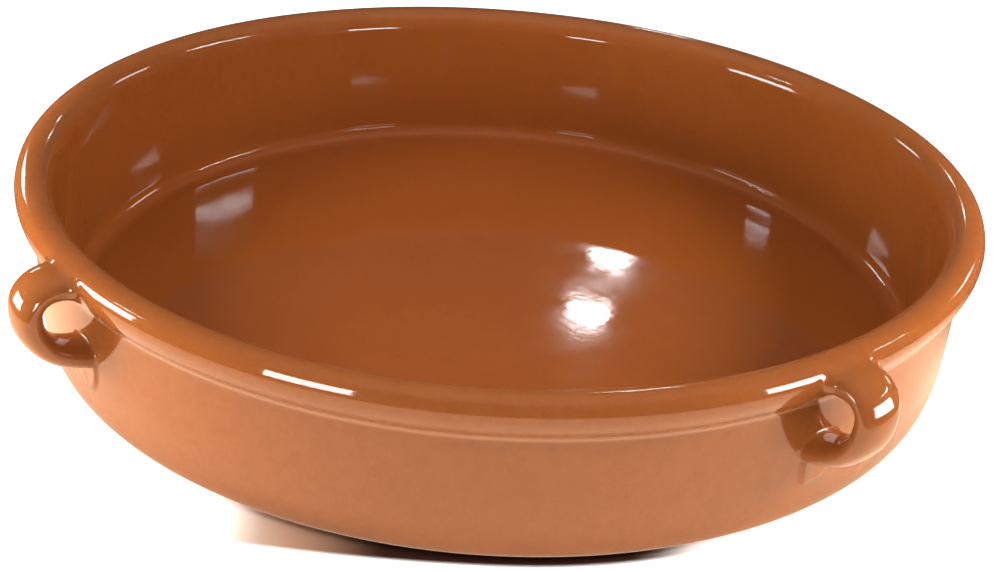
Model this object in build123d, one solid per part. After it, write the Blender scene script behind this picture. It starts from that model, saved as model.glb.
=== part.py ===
from build123d import *
import math
import os

# ---------------------------------------------------------------------------
# Cazuela: a round, shallow, glazed terracotta cooking dish with a rolled rim
# and four small loop handles. Millimetres, +Z up, origin at the centre of the
# base, on the plane it stands on. The handles sit on +X, +Y, -X and -Y.
# ---------------------------------------------------------------------------

# overall
RIM_R = 190.0            # outermost radius, at the widest line of the rim bead
HEIGHT = 68.1            # top of the rim above the base
BEAD_Z = 62.0            # height of the widest line of the rim bead

# outer wall
WALL_R = 183.4           # outer radius of the upright wall
BASE_R = 168.0           # radius where the flat base ends

# inside
LIP_R = 175.7            # inner radius of the rim just under the lip
INNER_MID_R = 174.3      # inner radius of the wall half way down
INNER_LOW_R = 172.6      # inner radius where the corner with the floor starts
FLOOR_Z = 7.8            # thickness of the floor in the middle
FLOOR_EDGE_Z = 5.6       # and at its edge: the floor is slightly domed
FLOOR_FILLET_R = 6.4     # the tight corner between the wall and the floor

# glaze
GLAZE_T = 0.40           # thickness of the fired glaze
GLAZE_END_Z = 1.2        # the glaze stops this far above the base
SEAM = 0.02              # hairline between two pieces that are fused in firing

# handles, in the plane of the radius: r outward, z up
HANDLE_W = 18.0          # width of the strap
HANDLE_T = 9.4           # thickness of the strap at its outermost point
TAIL_W = 16.0            # thumbed-down tail of the lower root: width,
TAIL_H = 22.0            # height,
TAIL_T = 2.2             # and how far it stands out of the wall
TAIL_Z = 26.5            # height of its centre

# points on the centre line of the strap: r, z, width, thickness there
STRAP = [
    (183.6, 60.9, 25.5, 10.8),
    (191.2, 61.4, 22.0, 10.6),
    (196.9, 61.1, 20.0, 10.2),
    (200.9, 59.1, 19.0, 9.8),
    (203.1, 55.8, 18.4, 9.5),
    (203.6, 51.5, HANDLE_W, HANDLE_T),
    (202.7, 46.3, HANDLE_W, HANDLE_T),
    (200.2, 41.5, HANDLE_W, HANDLE_T),
    (196.3, 37.3, HANDLE_W, HANDLE_T),
    (191.3, 34.5, 18.4, 9.6),
    (185.9, 33.0, 19.0, 10.0),
    (179.2, 32.4, 19.5, 10.4),
]
SECTIONS = 15            # ellipses that the strap is lofted through

# each handle's place round the dish in degrees, and how much lower it sits:
# the two at the back were pressed on a little further down the wall
REAR_DROP = 4.6
HANDLES = {
    "handle_front_right": (0.0, 0.0),
    "handle_rear_right": (90.0, REAR_DROP),
    "handle_rear_left": (180.0, REAR_DROP),
    "handle_front_left": (270.0, 0.0),
}

# ---------------------------------------------------------------------------
# Section of the dish: the visible surface from the edge of the base, up the
# outer wall, round the bead and down the inside to the middle of the floor.
# Each group of points is one smooth curve; the groups join end to end.
# ---------------------------------------------------------------------------


def arc_points(cr, cz, rad, a0, a1, n):
    out = []
    for i in range(n + 1):
        a = math.radians(a0 + (a1 - a0) * i / n)
        out.append((cr + rad * math.cos(a), cz + rad * math.sin(a)))
    return out


# rounded turn from the base up to the line where the glaze stops
foot_edge = [(BASE_R, 0.0), (172.6, 0.315), (177.1, GLAZE_END_Z)]
# the barrelled wall: a tight turn at the foot, then nearly upright
outer_wall = [
    (177.1, GLAZE_END_Z), (179.9, 4.2), (181.8, 10.0), (182.95, 22.0),
    (WALL_R, 38.0), (WALL_R, 44.0), (WALL_R, 49.8),
]
# the crease under the bead, then round the bead to the lip
bead = [
    (WALL_R, 49.8), (183.95, 51.6), (185.4, 52.6), (187.9, 54.9),
    (189.2, 57.8), (RIM_R, BEAD_Z), (188.4, 66.7), (183.9, HEIGHT),
    (179.4, 66.7), (176.9, 64.0), (LIP_R, 60.6),
]
# inner wall, narrowing a little towards the floor
inner_wall = [
    (LIP_R, 60.6), (174.95, 52.0), (INNER_MID_R, 44.0), (173.4, 28.0),
    (INNER_LOW_R, FLOOR_EDGE_Z + FLOOR_FILLET_R),
]
# the corner: a quarter round, then the floor, rising slowly to its middle
FLOOR_R = INNER_LOW_R - FLOOR_FILLET_R
fillet = arc_points(FLOOR_R, FLOOR_EDGE_Z + FLOOR_FILLET_R, FLOOR_FILLET_R, 0, -90, 2)
FLOOR_BREAKS = [(FLOOR_R, FLOOR_EDGE_Z), (112.0, 7.0), (56.0, FLOOR_Z), (0.0, FLOOR_Z)]
floor = [FLOOR_BREAKS[0]]
for (r0, z0), (r1, z1) in zip(FLOOR_BREAKS, FLOOR_BREAKS[1:]):
    floor += [((r0 + r1) / 2, (z0 + z1) / 2), (r1, z1)]

glazed_surface = outer_wall + bead[1:] + inner_wall[1:] + fillet[1:] + floor[1:]


def offset_points(points, inward):
    """The same run of section points, moved into the clay by `inward`."""
    out = []
    for i, (r, z) in enumerate(points):
        r0, z0 = points[max(i - 1, 0)]
        r1, z1 = points[min(i + 1, len(points) - 1)]
        dr, dz = r1 - r0, z1 - z0
        d = math.hypot(dr, dz)
        # the section runs with the clay on its left hand
        out.append((r - dz / d * inward, z + dr / d * inward))
    return out


def run(points):
    """Arcs through each three points of a run; nearly straight ones are lines."""
    out = []
    for i in range(0, len(points) - 2, 2):
        (r0, z0), (r1, z1), (r2, z2) = points[i:i + 3]
        chord = math.hypot(r2 - r0, z2 - z0)
        bow = abs((r2 - r0) * (z1 - z0) - (z2 - z0) * (r1 - r0)) / chord
        if bow < 0.06:
            out.append(Line((r0, 0, z0), (r2, 0, z2)))
        else:
            out.append(ThreePointArc((r0, 0, z0), (r1, 0, z1), (r2, 0, z2)))
    return out


def line(r0, z0, r1, z1):
    return Line((r0, 0, z0), (r1, 0, z1))


def revolve_section(edges):
    face = make_face(Wire(edges))
    return revolve(face, axis=Axis.Z, revolution_arc=360)


def under_glaze(depth):
    """Run that lies `depth` under the glazed surface."""
    pts = offset_points(glazed_surface, depth)
    pts[0] = (glazed_surface[0][0] - depth, GLAZE_END_Z)
    pts[-1] = (0.0, FLOOR_Z - depth)
    return pts


def clay_solid(depth, step_z):
    """Floor, wall and rolled rim in one piece, its surface `depth` down."""
    under = under_glaze(depth)
    r_end = glazed_surface[0][0]
    edges = [line(0, 0, BASE_R, 0)]
    edges += run(foot_edge[:-1] + [(r_end, step_z)])
    edges.append(line(r_end, step_z, under[0][0], step_z))
    if step_z < GLAZE_END_Z:
        edges.append(line(under[0][0], step_z, under[0][0], GLAZE_END_Z))
    edges += run(under)
    edges.append(line(0, FLOOR_Z - depth, 0, 0))
    return revolve_section(edges)


def glaze_solid():
    """Glaze inside, over the rim and down the outside, open at the base."""
    under = under_glaze(GLAZE_T)
    r_end = glazed_surface[0][0]
    edges = [line(under[0][0], GLAZE_END_Z, r_end, GLAZE_END_Z)]
    edges += run(glazed_surface)
    edges.append(line(0, FLOOR_Z, 0, FLOOR_Z - GLAZE_T))
    edges += run(under)
    return revolve_section(edges)


def strap_sections():
    """Ellipses at even steps along the strap's centre line."""
    path = Spline(*[Vector(r, 0, z) for r, z, _, _ in STRAP])
    marks = [0.0]
    for (r0, z0, _, _), (r1, z1, _, _) in zip(STRAP, STRAP[1:]):
        marks.append(marks[-1] + math.hypot(r1 - r0, z1 - z0))
    faces = []
    for i in range(SECTIONS):
        t = i / (SECTIONS - 1)
        here = t * marks[-1]
        k = max(j for j in range(len(marks) - 1) if marks[j] <= here)
        f = (here - marks[k]) / (marks[k + 1] - marks[k])
        width = STRAP[k][2] + (STRAP[k + 1][2] - STRAP[k][2]) * f
        thick = STRAP[k][3] + (STRAP[k + 1][3] - STRAP[k][3]) * f
        at, way = path @ t, path % t
        pl = Plane(origin=at, x_dir=(0, 1, 0), z_dir=way)
        faces.append(pl * Ellipse(width / 2, thick / 2))
    return faces


def handle_solid():
    """One loop handle on +X, before it is fitted to the clay."""
    strap = loft(strap_sections())
    tail = Pos(182.7, 0, TAIL_Z) * scale(
        Sphere(1), by=(TAIL_T + 0.7, TAIL_W / 2, TAIL_H / 2))
    return strap + tail


clay = clay_solid(GLAZE_T + SEAM, GLAZE_END_Z - SEAM)
glaze = glaze_solid()
strap = handle_solid()
core = clay_solid(GLAZE_T, GLAZE_END_Z)

parts = {}
for name, (angle, drop) in HANDLES.items():
    placed = Pos(0, 0, -drop) * strap
    # only the part outside the clay is the handle
    handle = max((placed - core).solids(), key=lambda s: s.volume)
    parts[name] = Rot(0, 0, angle) * handle
    # the glaze stops where the handle meets the clay
    glaze = glaze - Rot(0, 0, angle) * placed

parts["clay_dish"] = clay
parts["glaze_coat"] = glaze

os.makedirs("parts", exist_ok=True)
for name, shape in parts.items():
    solids = shape.solids()
    if name != "glaze_coat":
        solids = [max(solids, key=lambda s: s.volume)]
    else:
        solids = [s for s in solids if s.volume > 5.0]
    out = solids[0] if len(solids) == 1 else Compound(children=list(solids))
    export_step(out, f"parts/{name}.step")
    bb = out.bounding_box()
    print(name, len(solids), "solid(s)", round(sum(s.volume for s in solids)),
          "mm3", [round(v, 2) for v in (bb.min.X, bb.min.Y, bb.min.Z,
                                        bb.max.X, bb.max.Y, bb.max.Z)])
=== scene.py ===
import math

import bpy
import numpy as np
from mathutils import Matrix


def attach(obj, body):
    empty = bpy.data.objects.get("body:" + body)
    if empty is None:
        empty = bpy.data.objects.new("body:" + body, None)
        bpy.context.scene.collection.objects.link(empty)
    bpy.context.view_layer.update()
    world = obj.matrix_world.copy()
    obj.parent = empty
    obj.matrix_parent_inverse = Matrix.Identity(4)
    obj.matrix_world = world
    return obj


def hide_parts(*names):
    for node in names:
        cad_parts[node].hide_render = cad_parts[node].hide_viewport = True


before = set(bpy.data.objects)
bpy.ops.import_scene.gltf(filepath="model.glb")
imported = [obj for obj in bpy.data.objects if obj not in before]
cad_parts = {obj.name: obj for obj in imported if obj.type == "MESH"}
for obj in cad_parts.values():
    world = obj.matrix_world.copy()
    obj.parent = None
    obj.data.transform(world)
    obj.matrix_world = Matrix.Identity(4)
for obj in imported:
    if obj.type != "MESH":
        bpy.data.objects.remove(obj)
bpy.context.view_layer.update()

MM = 0.001
SCENE = bpy.context.scene


# ---------------------------------------------------------------------------
# Curves in the plane of the radius (r outward, z up), millimetres
# ---------------------------------------------------------------------------


def spline_eval(t, p, u):
    """Natural cubic spline through the rows of p at t, read at u."""
    n = len(t)
    h = np.diff(t)
    a = np.zeros((n, n))
    b = np.zeros((n, p.shape[1]))
    a[0, 0] = a[-1, -1] = 1.0
    for i in range(1, n - 1):
        a[i, i - 1] = h[i - 1]
        a[i, i] = 2 * (h[i - 1] + h[i])
        a[i, i + 1] = h[i]
        b[i] = 6 * ((p[i + 1] - p[i]) / h[i] - (p[i] - p[i - 1]) / h[i - 1])
    m = np.linalg.solve(a, b)
    k = np.clip(np.searchsorted(t, u, side="right") - 1, 0, n - 2)
    hk = h[k][:, None]
    w1 = ((u - t[k]) / h[k])[:, None]
    w0 = 1 - w1
    return (w0 * p[k] + w1 * p[k + 1]
            + ((w0 ** 3 - w0) * m[k] + (w1 ** 3 - w1) * m[k + 1]) * hk ** 2 / 6)


def chord(p):
    return np.concatenate([[0.0], np.cumsum(np.linalg.norm(np.diff(p, axis=0), axis=1))])


def resample(p, step):
    """The polyline p at an even step along its length."""
    t = chord(p)
    n = max(int(round(t[-1] / step)), 2)
    u = np.linspace(0, t[-1], n + 1)
    return np.stack([np.interp(u, t, p[:, i]) for i in range(p.shape[1])], 1)


def smooth(e0, e1, x):
    t = np.clip((x - e0) / (e1 - e0), 0.0, 1.0)
    return t * t * (3 - 2 * t)


class PlaneCurve:
    """A finely sampled plane curve that answers where its nearest point is."""

    def __init__(self, pts, cell=0.5, margin=26.0, reach=14):
        self.p = pts
        d = np.gradient(pts, axis=0)
        d /= np.linalg.norm(d, axis=1)[:, None]
        self.tan = d
        self.nor = np.stack([d[:, 1], -d[:, 0]], 1)
        self.lo = pts.min(0) - margin
        hi = pts.max(0) + margin
        self.cell = cell
        nx, nz = (np.ceil((hi - self.lo) / cell)).astype(int) + 1
        gx = self.lo[0] + (np.arange(nx) + 0.5) * cell
        gz = self.lo[1] + (np.arange(nz) + 0.5) * cell
        q = np.stack(np.meshgrid(gx, gz, indexing="ij"), -1).reshape(-1, 2)
        near = np.zeros(len(q), int)
        coarse = pts[::3]
        for s in range(0, len(q), 4000):
            dd = ((q[s:s + 4000, None, :] - coarse[None]) ** 2).sum(-1)
            near[s:s + 4000] = dd.argmin(1) * 3
        self.grid = near.reshape(nx, nz)
        self.reach = reach

    def closest(self, r, z):
        """Signed distance (positive on the normal's side), index along the
        curve as a float, and overshoot past either end."""
        q = np.stack([r, z], -1)
        i = np.clip(((q - self.lo) / self.cell).astype(int), 0,
                    np.array(self.grid.shape) - 1)
        k0 = self.grid[i[..., 0], i[..., 1]]
        offs = np.arange(-self.reach, self.reach + 1)
        cand = np.clip(k0[..., None] + offs, 0, len(self.p) - 1)
        dd = ((q[..., None, :] - self.p[cand]) ** 2).sum(-1)
        k = np.take_along_axis(cand, dd.argmin(-1)[..., None], -1)[..., 0]
        step = np.linalg.norm(self.p[1] - self.p[0])
        along = ((q - self.p[k]) * self.tan[k]).sum(-1) / step
        f = np.clip(k + np.clip(along, -1, 1), 0, len(self.p) - 1.000001)
        j = f.astype(int)
        w = (f - j)[..., None]
        base = self.p[j] * (1 - w) + self.p[j + 1] * w
        nor = self.nor[j] * (1 - w) + self.nor[j + 1] * w
        nor /= np.linalg.norm(nor, axis=-1, keepdims=True)
        dist = ((q - base) * nor).sum(-1)
        over0 = -((q - self.p[0]) * self.tan[0]).sum(-1)
        over1 = ((q - self.p[-1]) * self.tan[-1]).sum(-1)
        over = np.where(k == 0, np.maximum(over0, 0),
                        np.where(k == len(self.p) - 1, np.maximum(over1, 0), 0))
        return dist, f, over


# ---------------------------------------------------------------------------
# Section of the dish (the same numbers as the CAD part)
# ---------------------------------------------------------------------------
GLAZE_END_Z = 1.2
FOOT = [(168.0, 0.0), (171.6, 0.10), (174.9, 0.50), (177.1, GLAZE_END_Z)]
WALL = [(179.25, 3.0), (180.75, 6.0), (181.8, 10.0), (182.6, 16.0),
        (183.1, 23.0), (183.35, 31.0), (183.4, 39.0), (183.4, 46.0)]
BEAD = [(183.5, 48.8), (183.9, 50.6), (184.8, 52.1), (186.2, 53.6),
        (187.8, 55.6), (189.2, 58.5), (190.0, 62.0), (189.6, 64.6), (188.2, 66.9),
        (185.9, 67.9), (183.3, 68.1), (180.6, 67.4), (178.3, 65.9),
        (176.7, 63.6), (175.7, 60.6)]
INNER = [(175.31, 56.5), (174.95, 52.0), (174.42, 45.0), (173.81, 36.0),
         (173.34, 28.0), (172.94, 20.0), (172.6, 12.0)]
ARC = [(166.2 + 6.4 * math.cos(math.radians(a)), 12 + 6.4 * math.sin(math.radians(a)))
       for a in (-15, -30, -45, -60, -75, -88)]
# the floor rises slowly to its middle
FLAT = [(r, 7.9 - 2.3 * (r / 166.0) ** 2)
        for r in (163.0, 158.0, 150.0, 138.0, 122.0, 100.0, 75.0, 50.0, 25.0, 0.6)]

ctrl = np.array(FOOT + WALL + BEAD + INNER + ARC + FLAT)
ct = chord(ctrl)
fine = spline_eval(ct, ctrl, np.linspace(0, ct[-1], 9000))
fine = resample(fine, 0.1)
PROFILE = PlaneCurve(fine)
prof_s = chord(fine)


def at(r, z):
    """Length along the section to the point nearest (r, z)."""
    return prof_s[((fine - (r, z)) ** 2).sum(1).argmin()]


S_GLAZE = at(177.1, GLAZE_END_Z)
S_BEAD = at(184.6, 52.2)
S_TOP = at(183.3, 68.1)
S_LIP = at(175.7, 60.6)
S_FLOOR = at(163.0, 5.7)


def section(s):
    """Points and outward normals of the section at lengths s."""
    p = np.stack([np.interp(s, prof_s, fine[:, i]) for i in (0, 1)], 1)
    n = np.stack([np.interp(s, prof_s, PROFILE.nor[:, i]) for i in (0, 1)], 1)
    return p, n / np.linalg.norm(n, axis=1)[:, None]


def spaced(lo, hi, gap):
    """Values from lo to hi whose gaps follow the function gap(value)."""
    x = np.linspace(lo, hi, 6000)
    c = np.concatenate([[0.0], np.cumsum(np.diff(x) / gap((x[1:] + x[:-1]) / 2))])
    n = int(math.ceil(c[-1]))
    return np.interp(np.linspace(0, c[-1], n + 1), c, x)


# ---------------------------------------------------------------------------
# Handles. Every one is a strap of clay pressed on by hand, so they differ.
# ---------------------------------------------------------------------------
# centre line of the strap: r, z, width, thickness
STRAP = [
    (181.6, 60.9, 24.4, 10.8), (186.4, 61.2, 23.0, 10.8),
    (191.2, 61.4, 21.4, 10.6), (196.9, 61.1, 19.6, 10.2),
    (200.9, 59.1, 18.8, 9.8), (203.1, 55.8, 18.2, 9.5),
    (203.6, 51.5, 18.0, 9.4), (202.7, 46.3, 18.0, 9.4),
    (200.2, 41.5, 18.0, 9.4), (196.3, 37.3, 18.0, 9.4),
    (191.3, 34.5, 18.3, 9.6), (185.9, 33.0, 18.8, 10.0),
    (179.2, 32.4, 19.2, 10.4),
]
# name: angle on the dish, how much lower it sits, sideways shift mm,
#       twist deg, width factor, thickness factor, lean of the top root mm,
#       tail centre mm, tail half width mm, tail low mm, tail high mm
HANDLES = {
    "handle_front_right": (0.0, 0.0, -4.4, 1.5, 1.04, 0.98, 1.0, -4.6, 8.4, 16.5, 29.0),
    "handle_front_left": (270.0, 0.0, 0.0, -1.0, 1.0, 1.0, -1.0, 2.0, 7.6, 17.0, 28.0),
    "handle_rear_right": (90.0, 4.6, 1.2, 2.0, 1.02, 1.0, 1.0, 1.5, 8.0, 16.0, 28.5),
    "handle_rear_left": (180.0, 4.6, -0.8, -1.5, 0.98, 0.99, -0.5, -2.0, 7.8, 17.5, 28.5),
}
POWER = 2.2          # how square the strap's section is
st = np.array(STRAP)
stt = chord(st[:, :2])
dense = spline_eval(stt, st, np.linspace(0, stt[-1], 1400))
dense = resample(dense, 0.1)
CENTRE = PlaneCurve(dense[:, :2], cell=0.5, margin=30.0, reach=22)
HALF_W = dense[:, 2] / 2
HALF_T = dense[:, 3] / 2
N_CENTRE = len(dense)


class Handle:
    def __init__(self, row):
        (self.angle, self.drop, self.shift, twist, self.wf, self.tf, self.lean,
         self.tail_y, self.tail_w, self.tail_lo, self.tail_hi) = row
        self.twist = math.radians(twist)
        self.k_axis = math.radians(self.angle)

    def axis_y(self, x, z):
        """Sideways place of the strap's middle: shift, twist and lean."""
        up = smooth(46.0, 61.0, z + self.drop) * (1 - smooth(188.0, 204.0, x))
        return (self.shift + math.tan(self.twist) * (z + self.drop - 47.0)
                + self.lean * up)

    def strap(self, x, y, z):
        """Distance to the strap, roughly, at points in the handle's frame."""
        d, f, over = CENTRE.closest(x, z + self.drop)
        a = np.interp(f, np.arange(N_CENTRE), HALF_T) * self.tf
        b = np.interp(f, np.arange(N_CENTRE), HALF_W) * self.wf
        yy = y - self.axis_y(x, z)
        u, v, w = np.abs(d) / a, np.abs(yy) / b, over / 7.0
        g = (u ** POWER + v ** POWER + w ** POWER + 1e-12) ** (1 / POWER)
        q = POWER - 1
        grad = np.sqrt(((u / g) ** q / a) ** 2 + ((v / g) ** q / b) ** 2
                       + ((w / g) ** q / 7.0) ** 2)
        return (g - 1) / np.maximum(grad, 0.02)

    def tail(self, y, z):
        """Clay thumbed down from the lower root, as height on the wall."""
        z = z + self.drop
        mid = (self.tail_lo + self.tail_hi) / 2
        half = (self.tail_hi - self.tail_lo) / 2 + 3.0
        v = (z - mid - 3.0) / half
        narrow = 1.0 - 0.22 * smooth(0.0, 1.0, -v)
        u = (y - self.tail_y - 0.12 * (z - mid)) / (self.tail_w * narrow)
        q = (np.abs(u) ** 3 + np.abs(v) ** 3.4) ** (1 / 3.2)
        dish = 1 - 0.22 * np.exp(-((y - self.tail_y) / 4.2) ** 2
                                 - ((z - mid + 1.0) / 5.0) ** 2)
        return 1.95 * (1 - smooth(0.62, 1.08, q)) * dish

    def dish(self, x, y, z):
        d, _, _ = PROFILE.closest(np.hypot(x, y), z)
        return d - self.tail(y, z)

    def blend_k(self, z):
        return 1.3 + 2.3 * smooth(44.0, 52.0, z + self.drop)

    def joined(self, x, y, z):
        a, b = self.dish(x, y, z), self.strap(x, y, z)
        k = self.blend_k(z)
        h = np.maximum(k - np.abs(a - b), 0) / k
        return np.minimum(a, b) - h * h * k / 4

    def to_local(self, p):
        c, s = math.cos(self.k_axis), math.sin(self.k_axis)
        return np.stack([c * p[:, 0] + s * p[:, 1], -s * p[:, 0] + c * p[:, 1], p[:, 2]], 1)

    def to_world(self, p):
        c, s = math.cos(self.k_axis), math.sin(self.k_axis)
        return np.stack([c * p[:, 0] - s * p[:, 1], s * p[:, 0] + c * p[:, 1], p[:, 2]], 1)

    def pull(self, p, n, floor_s=0.0):
        """Points moved along n onto the joined surface, and its normals."""
        cap = self.blend_k(p[:, 2]) / 4 + floor_s
        s = np.zeros(len(p))
        for _ in range(9):
            q = p + n * s[:, None]
            s = np.clip(s - 0.9 * self.joined(q[:, 0], q[:, 1], q[:, 2]), -0.4, cap)
        q = p + n * s[:, None]
        g = np.zeros_like(q)
        for i in range(3):
            e = np.zeros(3)
            e[i] = 0.06
            hi, lo = q + e, q - e
            g[:, i] = (self.joined(hi[:, 0], hi[:, 1], hi[:, 2])
                       - self.joined(lo[:, 0], lo[:, 1], lo[:, 2]))
        g /= np.maximum(np.linalg.norm(g, axis=1)[:, None], 1e-9)
        return q, g


# ---------------------------------------------------------------------------
# Hand-made irregularity, the same field for every piece
# ---------------------------------------------------------------------------


def warp(p):
    """Every piece's points, moved a little: the rim is not quite flat, the
    wall not quite round, the floor not quite even."""
    x, y, z = p[:, 0], p[:, 1], p[:, 2]
    r = np.hypot(x, y)
    a = np.arctan2(y, x)
    up = smooth(6.0, 62.0, z)
    dz = -0.91 * np.cos(2 * (a - math.radians(110.6))) * up
    out = smooth(120.0, 176.0, r)
    dr = out * up * (0.16 * np.cos(3 * a + 0.7) + 0.11 * np.cos(5 * a + 2.1)
                     + 0.06 * np.cos(9 * a + 0.4 + 0.03 * z)
                     + 0.05 * np.sin(0.21 * z + 2 * a))
    # slow swells of the floor, and the faint rings left by turning
    inside = (1 - smooth(150.0, 170.0, r)) * smooth(3.0, 5.0, z) * (1 - smooth(20, 40, z))
    dz = dz + inside * (0.25 * np.exp(-(r / 95.0) ** 2)
                        + 0.09 * np.sin(x / 31.0 + 0.8) * np.cos(y / 36.0 - 0.4)
                        + 0.010 * np.sin(r / 3.9 + 0.5 * np.sin(a * 2)) * smooth(8, 30, r))
    k = 1 + dr / np.maximum(r, 1.0)
    return np.stack([x * k, y * k, z + dz], 1)


def warp_all(p, n):
    """Warped points and normals (normals turned by the warp's slope)."""
    q = warp(p)
    if n is None:
        return q, None
    e = 0.05
    jac = np.zeros((len(p), 3, 3))
    for i in range(3):
        d = np.zeros(3)
        d[i] = e
        jac[:, :, i] = (warp(p + d) - warp(p - d)) / (2 * e)
    out = np.einsum("nij,nj->ni", np.transpose(np.linalg.inv(jac), (0, 2, 1)), n)
    out /= np.linalg.norm(out, axis=1)[:, None]
    return q, out


def make_mesh(name, pts, quads, tris, normals):
    """A mesh object at the origin, in metres, with its own shading normals."""
    me = bpy.data.meshes.new(name)
    nf = len(quads) + len(tris)
    loops = np.concatenate([quads.ravel(), tris.ravel()]).astype(np.int32)
    start = np.concatenate([np.arange(len(quads)) * 4,
                            len(quads) * 4 + np.arange(len(tris)) * 3]).astype(np.int32)
    me.vertices.add(len(pts))
    me.vertices.foreach_set("co", (pts * MM).astype(np.float32).ravel())
    me.loops.add(len(loops))
    me.loops.foreach_set("vertex_index", loops)
    me.polygons.add(nf)
    me.polygons.foreach_set("loop_start", start)
    me.polygons.foreach_set("use_smooth", np.ones(nf, bool))
    me.update(calc_edges=True)
    me.validate()
    if normals is not None:
        me.normals_split_custom_set_from_vertices(normals.astype(np.float32))
    ob = bpy.data.objects.new(name, me)
    SCENE.collection.objects.link(ob)
    return ob


def ring_quads(rows, cols, base=0):
    """Quads of a grid of rows whose columns close on themselves."""
    i = np.arange(rows - 1)[:, None]
    j = np.arange(cols)[None]
    k = (j + 1) % cols
    a, b = base + i * cols + j, base + i * cols + k
    return np.stack([a, b, b + cols, a + cols], -1).reshape(-1, 4)


# ---------------------------------------------------------------------------
# The glaze: the whole visible skin of the dish
# ---------------------------------------------------------------------------
handles = {n: Handle(row) for n, row in HANDLES.items()}


def row_gap(s):
    g = np.full_like(s, 0.62)
    g = np.where((s > at(183.4, 46)) & (s < at(187, 54.6)), 0.34, g)
    g = np.where(s > S_LIP, 1.3, g)
    g = np.where(s > at(172.9, 17), 0.55, g)
    g = np.where(s > S_FLOOR, 0.8 + (s - S_FLOOR) * 0.03, g)
    return g


def col_gap(a):
    d = np.abs((a + math.pi / 4) % (math.pi / 2) - math.pi / 4)
    return math.radians(0.21) + smooth(math.radians(9), math.radians(16), d) * math.radians(0.6)


GS = spaced(S_GLAZE, prof_s[-1], row_gap)
GA = spaced(0.0, 2 * math.pi, col_gap)[:-1]


def revolve(p, n, ang):
    c, s = np.cos(ang), np.sin(ang)
    pts = np.stack([p[:, 0, None] * c, p[:, 0, None] * s,
                    np.repeat(p[:, 1, None], len(ang), 1)], -1)
    nor = np.stack([n[:, 0, None] * c, n[:, 0, None] * s,
                    np.repeat(n[:, 1, None], len(ang), 1)], -1)
    return pts.reshape(-1, 3), nor.reshape(-1, 3)


def build_glaze():
    p, n = section(GS)
    pts, nor = revolve(p, n, GA)
    s_of = np.repeat(GS, len(GA))
    outside = s_of < at(181.5, 67.7)
    for h in handles.values():
        loc = h.to_local(pts)
        near = outside & (loc[:, 0] > 150) & (np.abs(loc[:, 1]) < 34)
        ln = h.to_local(nor[near])
        q, g = h.pull(loc[near], ln)
        # at the border of the patch the handle is far off, so the points stay on the untouched surface
        pts[near] = h.to_world(q)
        nor[near] = h.to_world(g)
    rows, cols = len(GS), len(GA)
    pts, nor = warp_all(pts, nor)
    # the inner face of the glaze, a third of a millimetre down
    rs = spaced(S_GLAZE, prof_s[-1], lambda s: row_gap(s) * 3.2)
    p2, n2 = section(rs)
    under, un = revolve(p2 - n2 * 0.33, -n2, GA)
    under, un = warp_all(under, un)
    base = len(pts)
    top_pole = np.array([[0.0, 0.0, pts[(rows - 1) * cols:rows * cols, 2].mean()]])
    low_pole = np.array([[0.0, 0.0, under[-cols:, 2].mean()]])
    rows2 = len(rs)
    q1 = ring_quads(rows, cols)
    q2 = ring_quads(rows2, cols, base)[:, ::-1]
    j = np.arange(cols)
    k = (j + 1) % cols
    rim = np.stack([j, base + j, base + k, k], 1)[:, ::-1]
    all_pts = np.concatenate([pts, under, top_pole, low_pole])
    all_nor = np.concatenate([nor, un, [[0, 0, 1]], [[0, 0, -1]]])
    tp, lp = len(all_pts) - 2, len(all_pts) - 1
    t1 = np.stack([(rows - 1) * cols + j, (rows - 1) * cols + k, np.full(cols, tp)], 1)
    t2 = np.stack([base + (rows2 - 1) * cols + k, base + (rows2 - 1) * cols + j,
                   np.full(cols, lp)], 1)
    return make_mesh("glaze_skin", all_pts, np.concatenate([q1, q2, rim]),
                     np.concatenate([t1, t2]), all_nor)


# ---------------------------------------------------------------------------
# The clay under it, bare on the base
# ---------------------------------------------------------------------------


def build_clay():
    ang = np.linspace(0, 2 * math.pi, 360, endpoint=False)
    # underside: from the middle out, with faint rings cut by the wheel
    r = spaced(0.8, 168.0, lambda v: np.full_like(v, 1.1))
    groove = 0.16 * (0.5 + 0.5 * np.sin(r / 2.3 + 1.2 * np.sin(r / 17.0)))
    z = groove * smooth(0, 8, r) * smooth(168, 160, r) + 0.35 * smooth(150, 90, r)
    under = np.stack([r, z], 1)
    s = spaced(1.2, S_GLAZE - 0.02, lambda v: np.full_like(v, 0.8))
    foot, fn = section(s)
    s2 = spaced(S_GLAZE, prof_s[-1], lambda v: row_gap(v) * 2.2)
    p2, n2 = section(s2)
    skin = p2 - n2 * 0.45
    prof = np.concatenate([under, foot, skin])
    pts, _ = revolve(prof, prof, ang)
    pts, _ = warp_all(pts, None)
    pts[:, 2] = np.maximum(pts[:, 2], 0.0)
    rows, cols = len(prof), len(ang)
    q = ring_quads(rows, cols)
    j = np.arange(cols)
    k = (j + 1) % cols
    all_pts = np.concatenate([pts, [[0, 0, pts[:cols, 2].mean()]],
                              [[0, 0, pts[-cols:, 2].mean()]]])
    lo, hi = len(all_pts) - 2, len(all_pts) - 1
    t1 = np.stack([k, j, np.full(cols, lo)], 1)
    t2 = np.stack([(rows - 1) * cols + j, (rows - 1) * cols + k, np.full(cols, hi)], 1)
    return make_mesh("clay_body", all_pts, q, np.concatenate([t1, t2]), None)


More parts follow.
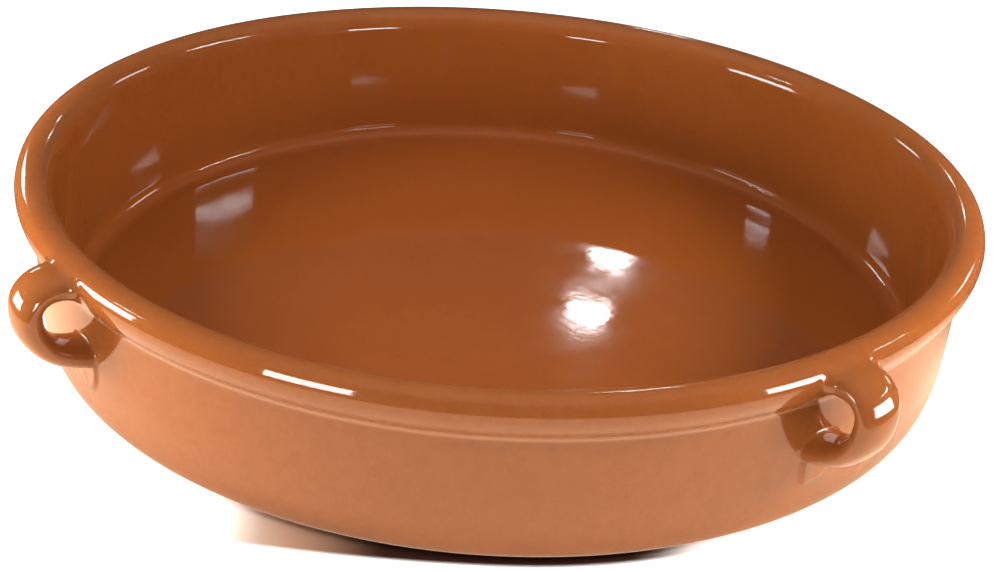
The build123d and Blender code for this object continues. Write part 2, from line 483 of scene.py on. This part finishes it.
def build_handle(name, h):
    cols = 132
    th = np.linspace(0, 2 * math.pi, cols, endpoint=False)
    idx = np.linspace(0, N_CENTRE - 1, 150)
    p = np.stack([np.interp(idx, np.arange(N_CENTRE), CENTRE.p[:, i]) for i in (0, 1)], 1)
    nr = np.stack([np.interp(idx, np.arange(N_CENTRE), CENTRE.nor[:, i]) for i in (0, 1)], 1)
    nr /= np.linalg.norm(nr, axis=1)[:, None]
    a = np.interp(idx, np.arange(N_CENTRE), HALF_T) * h.tf
    b = np.interp(idx, np.arange(N_CENTRE), HALF_W) * h.wf
    cu = np.sign(np.cos(th)) * np.abs(np.cos(th)) ** (2 / POWER)
    cv = np.sign(np.sin(th)) * np.abs(np.sin(th)) ** (2 / POWER)
    x = p[:, 0, None] + nr[:, 0, None] * a[:, None] * cu
    z = p[:, 1, None] + nr[:, 1, None] * a[:, None] * cu - h.drop
    y = b[:, None] * cv
    y = y + h.axis_y(x, z)
    q = np.stack([x, y, z], -1).reshape(-1, 3)
    # outward direction of the section
    eu = np.sign(cu) * np.abs(cu) ** (POWER - 1) / a[:, None]
    ev = np.sign(cv) * np.abs(cv) ** (POWER - 1) / b[:, None]
    m = np.stack([nr[:, 0, None] * eu, ev, nr[:, 1, None] * eu], -1).reshape(-1, 3)
    m /= np.linalg.norm(m, axis=1)[:, None]
    q, g = h.pull(q, m)
    pts = h.to_world(q)
    nor = h.to_world(g)
    pts, nor = warp_all(pts, nor)
    rows = len(idx)
    quads = ring_quads(rows, cols)
    j = np.arange(cols)
    k = (j + 1) % cols
    c0 = pts[:cols].mean(0)[None]
    c1 = pts[-cols:].mean(0)[None]
    all_pts = np.concatenate([pts, c0, c1])
    d0 = c0 - pts[cols * 3:cols * 4].mean(0)
    d1 = c1 - pts[-cols * 4:-cols * 3].mean(0)
    all_nor = np.concatenate([nor, d0 / np.linalg.norm(d0), d1 / np.linalg.norm(d1)])
    t1 = np.stack([k, j, np.full(cols, len(pts))], 1)
    t2 = np.stack([(rows - 1) * cols + j, (rows - 1) * cols + k,
                   np.full(cols, len(pts) + 1)], 1)
    # keep faces turned outward
    quads, tris = quads, np.concatenate([t1, t2])
    v0, v1, v2 = all_pts[quads[4000, 0]], all_pts[quads[4000, 1]], all_pts[quads[4000, 2]]
    if np.dot(np.cross(v1 - v0, v2 - v0), all_nor[quads[4000, 0]]) < 0:
        quads, tris = quads[:, ::-1], tris[:, ::-1]
    return make_mesh(name + "_clay", all_pts, quads, tris, all_nor)


# ---------------------------------------------------------------------------
# Materials
# ---------------------------------------------------------------------------


class Nodes:
    """Short calls that add nodes to a material and link them."""

    def __init__(self, mat):
        mat.use_nodes = True
        self.t = mat.node_tree
        self.t.nodes.clear()
        self.out = self.t.nodes.new("ShaderNodeOutputMaterial")
        self.bsdf = self.t.nodes.new("ShaderNodeBsdfPrincipled")
        self.t.links.new(self.bsdf.outputs[0], self.out.inputs[0])

    def put(self, socket, v):
        if isinstance(v, bpy.types.NodeSocket):
            self.t.links.new(v, socket)
        elif v is not None:
            if hasattr(socket.default_value, "__len__") and not hasattr(v, "__len__"):
                v = [v] * len(socket.default_value)
            socket.default_value = v

    def new(self, kind, **attrs):
        n = self.t.nodes.new(kind)
        for k, v in attrs.items():
            setattr(n, k, v)
        return n

    def math(self, op, a, b=None, c=None):
        n = self.new("ShaderNodeMath", operation=op)
        self.put(n.inputs[0], a)
        self.put(n.inputs[1], b)
        self.put(n.inputs[2], c)
        return n.outputs[0]

    def noise(self, vec, scale, detail=2.0, rough=0.5, dist=0.0):
        n = self.new("ShaderNodeTexNoise")
        self.put(n.inputs["Vector"], vec)
        self.put(n.inputs["Scale"], scale)
        self.put(n.inputs["Detail"], detail)
        self.put(n.inputs["Roughness"], rough)
        self.put(n.inputs["Distortion"], dist)
        return n.outputs[0]

    def voronoi(self, vec, scale, feature="F1"):
        n = self.new("ShaderNodeTexVoronoi", feature=feature)
        self.put(n.inputs["Vector"], vec)
        self.put(n.inputs["Scale"], scale)
        return n.outputs[0], n.outputs["Color"]

    def ramp(self, v, lo, hi, to_lo=0.0, to_hi=1.0, smoothly=True):
        n = self.new("ShaderNodeMapRange",
                     interpolation_type="SMOOTHSTEP" if smoothly else "LINEAR")
        self.put(n.inputs[0], v)
        for i, x in enumerate((lo, hi, to_lo, to_hi)):
            self.put(n.inputs[i + 1], x)
        return n.outputs[0]

    def mix(self, f, a, b, blend="MIX"):
        n = self.new("ShaderNodeMix", data_type="RGBA", blend_type=blend)
        self.put(n.inputs[0], f)
        self.put(n.inputs[6], a if isinstance(a, bpy.types.NodeSocket) else (*a, 1.0))
        self.put(n.inputs[7], b if isinstance(b, bpy.types.NodeSocket) else (*b, 1.0))
        return n.outputs[2]

    def coords(self):
        """Object coordinates, and radius and height in millimetres."""
        tc = self.new("ShaderNodeTexCoord")
        obj = tc.outputs["Object"]
        sep = self.new("ShaderNodeSeparateXYZ")
        self.put(sep.inputs[0], obj)
        x2 = self.math("MULTIPLY", sep.outputs[0], sep.outputs[0])
        y2 = self.math("MULTIPLY", sep.outputs[1], sep.outputs[1])
        r = self.math("MULTIPLY", self.math("SQRT", self.math("ADD", x2, y2)), 1000.0)
        z = self.math("MULTIPLY", sep.outputs[2], 1000.0)
        return obj, r, z


def glaze_material(name, seed):
    mat = bpy.data.materials.new(name)
    n = Nodes(mat)
    obj, r, z = n.coords()
    shifted = n.new("ShaderNodeVectorMath", operation="ADD")
    n.put(shifted.inputs[0], obj)
    shifted.inputs[1].default_value = (seed, seed * 0.7, seed * 1.3)
    v = shifted.outputs[0]
    # cloudiness of the glaze over the clay
    cloud = n.noise(v, 16.0, 3.0, 0.55, 0.4)
    mottle = n.noise(v, 190.0, 4.0, 0.62)
    grain = n.noise(v, 900.0, 2.0, 0.6)
    base = n.mix(n.ramp(cloud, 0.30, 0.70), (0.222, 0.0535, 0.0092), (0.240, 0.0595, 0.0108))
    # thinner and yellower over the rim and down the outside
    outer = n.ramp(r, 174.5, 178.5)
    thin = n.mix(n.ramp(cloud, 0.30, 0.70), (0.222, 0.0610, 0.0135), (0.240, 0.0675, 0.0155))
    base = n.mix(outer, base, thin)
    base = n.mix(n.math("MULTIPLY", n.ramp(mottle, 0.42, 0.62), 0.30), base,
                 (0.202, 0.0500, 0.0095))
    base = n.mix(n.math("MULTIPLY", n.ramp(grain, 0.55, 0.75), 0.30), base,
                 (0.31, 0.092, 0.022))
    # painted shade: darker over the floor and low on the inner wall, where the walls keep light off
    inner = n.ramp(r, 177.5, 174.5)
    painted_hollow_shade = n.math("MULTIPLY", inner, n.ramp(z, 40.0, 12.0))
    base = n.mix(n.math("MULTIPLY", painted_hollow_shade, 0.30), base, (0.17, 0.036, 0.0055))
    # painted highlight: a pale band along the crease under the bead, standing in for the reflection there;
    # it dips and rises with the rim
    sep = n.new("ShaderNodeSeparateXYZ")
    n.put(sep.inputs[0], obj)
    x, y = sep.outputs[0], sep.outputs[1]
    rr = n.math("MULTIPLY", n.math("MULTIPLY", r, r), 0.000001)
    cos2 = n.math("DIVIDE", n.math("SUBTRACT", n.math("MULTIPLY", x, x),
                                   n.math("MULTIPLY", y, y)), rr)
    sin2 = n.math("DIVIDE", n.math("MULTIPLY", n.math("MULTIPLY", x, y), 2.0), rr)
    dip = n.math("ADD", n.math("MULTIPLY", cos2, 0.603), n.math("MULTIPLY", sin2, 0.528))
    off = n.math("ABSOLUTE", n.math("SUBTRACT", n.math("SUBTRACT", z, dip), 51.5))
    painted_crease_sheen = n.math("MULTIPLY", n.ramp(off, 1.9, 0.5), n.ramp(r, 187.2, 186.0))
    painted_crease_sheen = n.math("MULTIPLY", painted_crease_sheen, n.ramp(r, 181.5, 182.5))
    base = n.mix(n.math("MULTIPLY", painted_crease_sheen, 0.70), base, (0.34, 0.135, 0.060))
    # fired specks, few and small
    dist, _ = n.voronoi(v, 62.0)
    speck = n.ramp(dist, 0.055, 0.030)
    base = n.mix(n.math("MULTIPLY", speck, 0.40), base, (0.14, 0.032, 0.007))
    n.put(n.bsdf.inputs["Base Color"], base)
    rough_noise = n.noise(v, 60.0, 2.0, 0.5)
    rough = n.ramp(rough_noise, 0.3, 0.7, 0.045, 0.085)
    inside_floor = n.math("MULTIPLY", n.ramp(r, 170.0, 160.0), n.ramp(z, 20.0, 10.0))
    rough = n.math("ADD", rough, n.math("MULTIPLY", inside_floor, 0.015))
    n.put(n.bsdf.inputs["Roughness"], rough)
    n.bsdf.inputs["IOR"].default_value = 1.52
    # orange peel, and slower swells of the fired surface
    peel = n.noise(v, 240.0, 2.0, 0.5)
    swell = n.noise(v, 34.0, 1.0, 0.4)
    wide = n.noise(v, 13.0, 0.0, 0.4)
    hgt = n.math("ADD", n.math("MULTIPLY", peel, 0.35),
                 n.math("ADD", n.math("MULTIPLY", swell, 1.1),
                        n.math("MULTIPLY", wide, 3.0)))
    bump = n.new("ShaderNodeBump")
    bump.inputs["Strength"].default_value = 1.0
    bump.inputs["Distance"].default_value = 0.00006
    n.put(bump.inputs["Height"], hgt)
    n.put(n.bsdf.inputs["Normal"], bump.outputs[0])
    return mat


def clay_material(name):
    mat = bpy.data.materials.new(name)
    n = Nodes(mat)
    obj, r, z = n.coords()
    cloud = n.noise(obj, 14.0, 4.0, 0.6)
    grit = n.noise(obj, 700.0, 3.0, 0.7)
    base = n.mix(n.ramp(cloud, 0.3, 0.7), (0.44, 0.175, 0.085), (0.58, 0.26, 0.14))
    base = n.mix(n.math("MULTIPLY", n.ramp(grit, 0.5, 0.72), 0.4), base, (0.66, 0.36, 0.22))
    dist, _ = n.voronoi(obj, 130.0)
    base = n.mix(n.math("MULTIPLY", n.ramp(dist, 0.13, 0.05), 0.5), base, (0.20, 0.10, 0.06))
    # soot and wear where it stands
    worn = n.math("MULTIPLY", n.ramp(r, 140.0, 168.0), n.ramp(cloud, 0.42, 0.6))
    base = n.mix(n.math("MULTIPLY", worn, 0.25), base, (0.30, 0.13, 0.07))
    n.put(n.bsdf.inputs["Base Color"], base)
    n.put(n.bsdf.inputs["Roughness"], n.ramp(grit, 0.3, 0.7, 0.78, 0.93))
    n.bsdf.inputs["IOR"].default_value = 1.4
    rings = n.math("SINE", n.math("MULTIPLY", r, 2.7))
    hgt = n.math("ADD", n.math("MULTIPLY", grit, 1.0), n.math("MULTIPLY", rings, 0.12))
    bump = n.new("ShaderNodeBump")
    bump.inputs["Strength"].default_value = 0.8
    bump.inputs["Distance"].default_value = 0.0002
    n.put(bump.inputs["Height"], hgt)
    n.put(n.bsdf.inputs["Normal"], bump.outputs[0])
    return mat


GLAZE = glaze_material("honey_glaze_over_clay", 0.0)
CLAY = clay_material("bare_terracotta")

glaze = build_glaze()
glaze.data.materials.append(GLAZE)
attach(glaze, "root")
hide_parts("glaze_coat")

clay = build_clay()
clay.data.materials.append(CLAY)
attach(clay, "root")
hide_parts("clay_dish")

for node, h in handles.items():
    piece = build_handle(node, h)
    piece.data.materials.append(GLAZE)
    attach(piece, "root")
    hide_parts(node)

# ---------------------------------------------------------------------------
# Floor
# ---------------------------------------------------------------------------


def build_floor():
    r = spaced(0.002, 9.0, lambda v: 0.02 + v * 0.08) * 1000
    ang = np.linspace(0, 2 * math.pi, 96, endpoint=False)
    pts, _ = revolve(np.stack([r, np.zeros_like(r)], 1), np.stack([r, r], 1), ang)
    pts[:, 2] = -0.02
    q = ring_quads(len(r), 96)
    j = np.arange(96)
    k = (j + 1) % 96
    all_pts = np.concatenate([pts, [[0, 0, -0.02]]])
    t = np.stack([k, j, np.full(96, len(pts))], 1)
    return make_mesh("floor", all_pts, q, t, None)


floor = build_floor()
fm = bpy.data.materials.new("pale_floor")
fn = Nodes(fm)
fobj, fr, fz = fn.coords()
fcol = fn.mix(fn.ramp(fn.noise(fobj, 3.0, 2.0, 0.5), 0.3, 0.7), (0.91, 0.907, 0.895), (0.935, 0.932, 0.922))
# dark under the foot, where no light gets in, and paler to the left
fsep = fn.new("ShaderNodeSeparateXYZ")
fn.put(fsep.inputs[0], fobj)
turn = math.radians(50.7)
side = fn.math("ADD", fn.math("MULTIPLY", fsep.outputs[0], 1000 * math.cos(turn)),
               fn.math("MULTIPLY", fsep.outputs[1], 1000 * math.sin(turn)))
under = fn.mix(fn.ramp(side, -66.0, -28.0), (0.42, 0.24, 0.15), (0.035, 0.010, 0.005))
under = fn.mix(fn.ramp(side, -96.0, -58.0), (0.85, 0.74, 0.62), under)
under = fn.mix(fn.ramp(side, 50.0, 84.0), under, (0.85, 0.74, 0.62))
# its outer edge runs straighter on the left
lean = fn.math("MAXIMUM", fn.math("SUBTRACT", 12.0, side), 0.0)
lean = fn.math("MINIMUM", lean, 100.0)
edge = fn.math("SUBTRACT", fr, fn.math("MULTIPLY", fn.math("MULTIPLY", lean, lean), 0.0017))
close = fn.ramp(edge, 179.4, 182.0, 1.0, 0.0)
fcol = fn.mix(close, fcol, under)
fn.put(fn.bsdf.inputs["Base Color"], fcol)
fn.bsdf.inputs["Roughness"].default_value = 0.6
fn.bsdf.inputs["IOR"].default_value = 1.25
# the sheet is lit from below, clear of the dish
fn.bsdf.inputs["Emission Color"].default_value = (1.0, 0.995, 0.985, 1.0)
glow = fn.math("MAXIMUM", fn.ramp(side, -70.0, -92.0), fn.ramp(side, 58.0, 84.0))
glow = fn.math("MAXIMUM", glow, fn.ramp(edge, 180.5, 183.5))
fn.put(fn.bsdf.inputs["Emission Strength"], fn.math("MULTIPLY", glow,
                                                        fn.ramp(fr, 300.0, 1200.0, 0.72, 0.98)))
floor.data.materials.append(fm)
floor.visible_glossy = False


def build_card():
    """A sheet seen only in reflections, standing in for the table: it glows in a warm patch before the dish
    as painted light, is dimmer next to the dish as painted shade, and is dark elsewhere.
    """
    r = spaced(60.0, 4000.0, lambda v: 3.0 + v * 0.05)
    ang = np.linspace(0, 2 * math.pi, 144, endpoint=False)
    pts, _ = revolve(np.stack([r, np.zeros_like(r)], 1), np.stack([r, r], 1), ang)
    pts[:, 2] = -0.6
    j = np.arange(144)
    k = (j + 1) % 144
    all_pts = np.concatenate([pts, [[0, 0, -0.6]]])
    t = np.stack([k, j, np.full(144, len(pts))], 1)
    return make_mesh("table_card", all_pts, ring_quads(len(r), 144), t, None)


card = build_card()
cm = bpy.data.materials.new("warm_card")
cn = Nodes(cm)
cobj, cr, cz = cn.coords()
csep = cn.new("ShaderNodeSeparateXYZ")
cn.put(csep.inputs[0], cobj)
# distance before the dish, towards the front, in millimetres
turn = math.radians(50.7)
ahead = cn.math("ADD", cn.math("MULTIPLY", csep.outputs[0], 1000 * math.sin(turn)),
                cn.math("MULTIPLY", csep.outputs[1], -1000 * math.cos(turn)))
lit = cn.math("MULTIPLY", cn.ramp(ahead, -40.0, 60.0), cn.ramp(cr, 345.0, 305.0))
lit = cn.math("MULTIPLY", lit, cn.ramp(cr, 176.0, 200.0, 0.45, 1.0))
cn.put(cn.bsdf.inputs["Base Color"], cn.mix(lit, (0.02, 0.02, 0.02), (0.05, 0.03, 0.02)))
cn.bsdf.inputs["Roughness"].default_value = 0.9
cn.bsdf.inputs["Specular IOR Level"].default_value = 0.0
cn.bsdf.inputs["Emission Color"].default_value = (1.0, 0.68, 0.47, 1.0)
cn.put(cn.bsdf.inputs["Emission Strength"],
       cn.math("ADD", cn.math("MULTIPLY", lit, 2.2), 0.10))
card.data.materials.append(cm)
for flag in ("camera", "diffuse", "transmission", "shadow", "volume_scatter"):
    setattr(card, "visible_" + flag, False)

# ---------------------------------------------------------------------------
# Light. Directions are azimuth (math sense, from +X) and elevation.
# ---------------------------------------------------------------------------
TURN = 50.7


def softbox(name, az, el, dist, w, h, power, spread=180.0, aim=(0, 0, 0.04), mirrored=True,
            lighting=True):
    lamp = bpy.data.lights.new(name, "AREA")
    lamp.shape = "RECTANGLE"
    lamp.size, lamp.size_y = w, h
    lamp.energy = power
    lamp.spread = math.radians(spread)
    ob = bpy.data.objects.new(name, lamp)
    SCENE.collection.objects.link(ob)
    a, e = math.radians(az + TURN), math.radians(el)
    pos = np.array(aim) + dist * np.array([math.cos(e) * math.cos(a),
                                           math.cos(e) * math.sin(a), math.sin(e)])
    z = (pos - np.array(aim)) / dist
    x = np.cross([0, 0, 1.0], z)
    x /= np.linalg.norm(x)
    y = np.cross(z, x)
    m = Matrix([[x[0], y[0], z[0], pos[0]], [x[1], y[1], z[1], pos[1]],
                [x[2], y[2], z[2], pos[2]], [0, 0, 0, 1]])
    ob.matrix_world = m
    ob.visible_camera = False
    ob.visible_glossy = mirrored
    ob.visible_diffuse = lighting
    return ob


def rim_at(az, r=0.186, z=0.064):
    a = math.radians(az + TURN)
    return (r * math.cos(a), r * math.sin(a), z)


# softboxes on either side and before the dish on the left, low and high
softbox("side_left", 188, 5, 0.68, 0.26, 0.16, 1.0, 80, mirrored=False)
softbox("side_right_low", -27, 9.2, 0.87, 0.33, 0.18, 0.24, 80, mirrored=False)
softbox("side_right_high", -22, 36, 1.20, 0.33, 0.32, 0.25, 80, mirrored=False)
softbox("front_left_low", -126, 8, 0.93, 0.35, 0.18, 0.40, 80, mirrored=False)
softbox("front_left_high", -126, 36, 1.28, 0.35, 0.26, 0.2, 80, mirrored=False)
softbox("rim_left", 186, 38, 0.27, 0.30, 0.10, 0.52, 100, rim_at(190), False)
softbox("rim_right", -14, 38, 0.27, 0.30, 0.10, 0.74, 100, rim_at(-14), False)
softbox("rim_front", -90, 62, 0.34, 0.44, 0.10, 0.30, 100, rim_at(-90), False)
softbox("top", 0, 89.9, 1.2, 0.9, 0.9, 3.8, mirrored=False)
# the lamps that the rim mirrors: left, before on the left, right
softbox("glint_side", 182.7, 4.3, 0.50, 0.28, 0.20, 3.1, aim=rim_at(202, 0.190, 0.062),
        lighting=False)
softbox("glint_left", -126.8, 6.5, 0.12, 0.070, 0.053, 0.23, aim=rim_at(-108, 0.190, 0.062),
        lighting=False)
softbox("glint_right", -21, 6.5, 0.12, 0.098, 0.053, 0.33, aim=rim_at(-52, 0.190, 0.062),
        lighting=False)
# two small lamps low behind the dish
softbox("back_low", 84.06, 23.7, 2.4, 0.07, 0.035, 0.36)
softbox("back_low_2", 84.75, 27.85, 2.4, 0.07, 0.035, 0.36)
# strip lights to the right and to the left, two small windows at the back
softbox("strip_right", 5.3, 29.8, 2.275, 0.80, 0.013, 6.0)
softbox("strip_left", 182.7, 28.3, 2.23, 0.30, 0.013, 2.0)
softbox("window_right", 37, 19, 1.57, 0.34, 0.13, 1.2)
softbox("window_left", 129, 21, 1.60, 0.30, 0.13, 1.2)

world = bpy.data.worlds.new("room")
SCENE.world = world
world.use_nodes = True
wt = world.node_tree
wt.nodes.clear()
wo = wt.nodes.new("ShaderNodeOutputWorld")
bg = wt.nodes.new("ShaderNodeBackground")
tc = wt.nodes.new("ShaderNodeTexCoord")
sx = wt.nodes.new("ShaderNodeSeparateXYZ")
mr = wt.nodes.new("ShaderNodeMapRange")
mr.interpolation_type = "SMOOTHSTEP"
mr.inputs[1].default_value = 0.60
mr.inputs[2].default_value = 0.95
mr.inputs[3].default_value = 0.07
mr.inputs[4].default_value = 0.35
wt.links.new(tc.outputs["Generated"], sx.inputs[0])
wt.links.new(sx.outputs[2], mr.inputs[0])
wt.links.new(mr.outputs[0], bg.inputs["Strength"])
bg.inputs["Color"].default_value = (1.0, 0.99, 0.97, 1)
wt.links.new(bg.outputs[0], wo.inputs[0])

# ---------------------------------------------------------------------------
# Camera: the photograph's view, fitted to its outlines
# ---------------------------------------------------------------------------
F_PX, ELEV, ROLL = 1699.0, 23.361, 4.162
DIST, PX, PY, AIM_Z = 0.68594, -5.11, -119.02, 0.0627


def camera_matrix():
    e = math.radians(ELEV)
    c = np.array([0, -math.cos(e) * DIST, math.sin(e) * DIST])
    f = -c / np.linalg.norm(c)
    r = np.array([1.0, 0, 0])
    u = np.cross(r, f)
    ax, ay = math.atan2(PX, F_PX), math.atan2(-PY, F_PX)
    x1 = math.cos(ax) * r + math.sin(ax) * f
    z1 = -math.sin(ax) * r + math.cos(ax) * f
    y1 = math.cos(ay) * u + math.sin(ay) * z1
    z2 = -math.sin(ay) * u + math.cos(ay) * z1
    k = math.radians(ROLL)
    right = math.cos(k) * x1 + math.sin(k) * y1
    up = -math.sin(k) * x1 + math.cos(k) * y1
    pos = c + np.array([0, 0, AIM_Z])
    m = Matrix([[right[0], up[0], -z2[0], pos[0]], [right[1], up[1], -z2[1], pos[1]],
                [right[2], up[2], -z2[2], pos[2]], [0, 0, 0, 1]])
    return Matrix.Rotation(math.radians(TURN), 4, "Z") @ m


cam_data = bpy.data.cameras.new("camera")
cam_data.sensor_fit = "HORIZONTAL"
cam_data.sensor_width = 36.0
cam_data.lens = F_PX / 1000 * 36.0
cam_data.clip_start = 0.02
cam_data.clip_end = 60
cam = bpy.data.objects.new("camera", cam_data)
SCENE.collection.objects.link(cam)
cam.matrix_world = camera_matrix()
SCENE.camera = cam

SCENE.view_settings.view_transform = "Standard"
SCENE.view_settings.look = "None"
SCENE.view_settings.exposure = 0.0
SCENE.cycles.use_denoising = True
SCENE.cycles.denoising_input_passes = "RGB_ALBEDO"
SCENE.cycles.denoising_prefilter = "ACCURATE"
SCENE.cycles.sample_clamp_indirect = 6.0
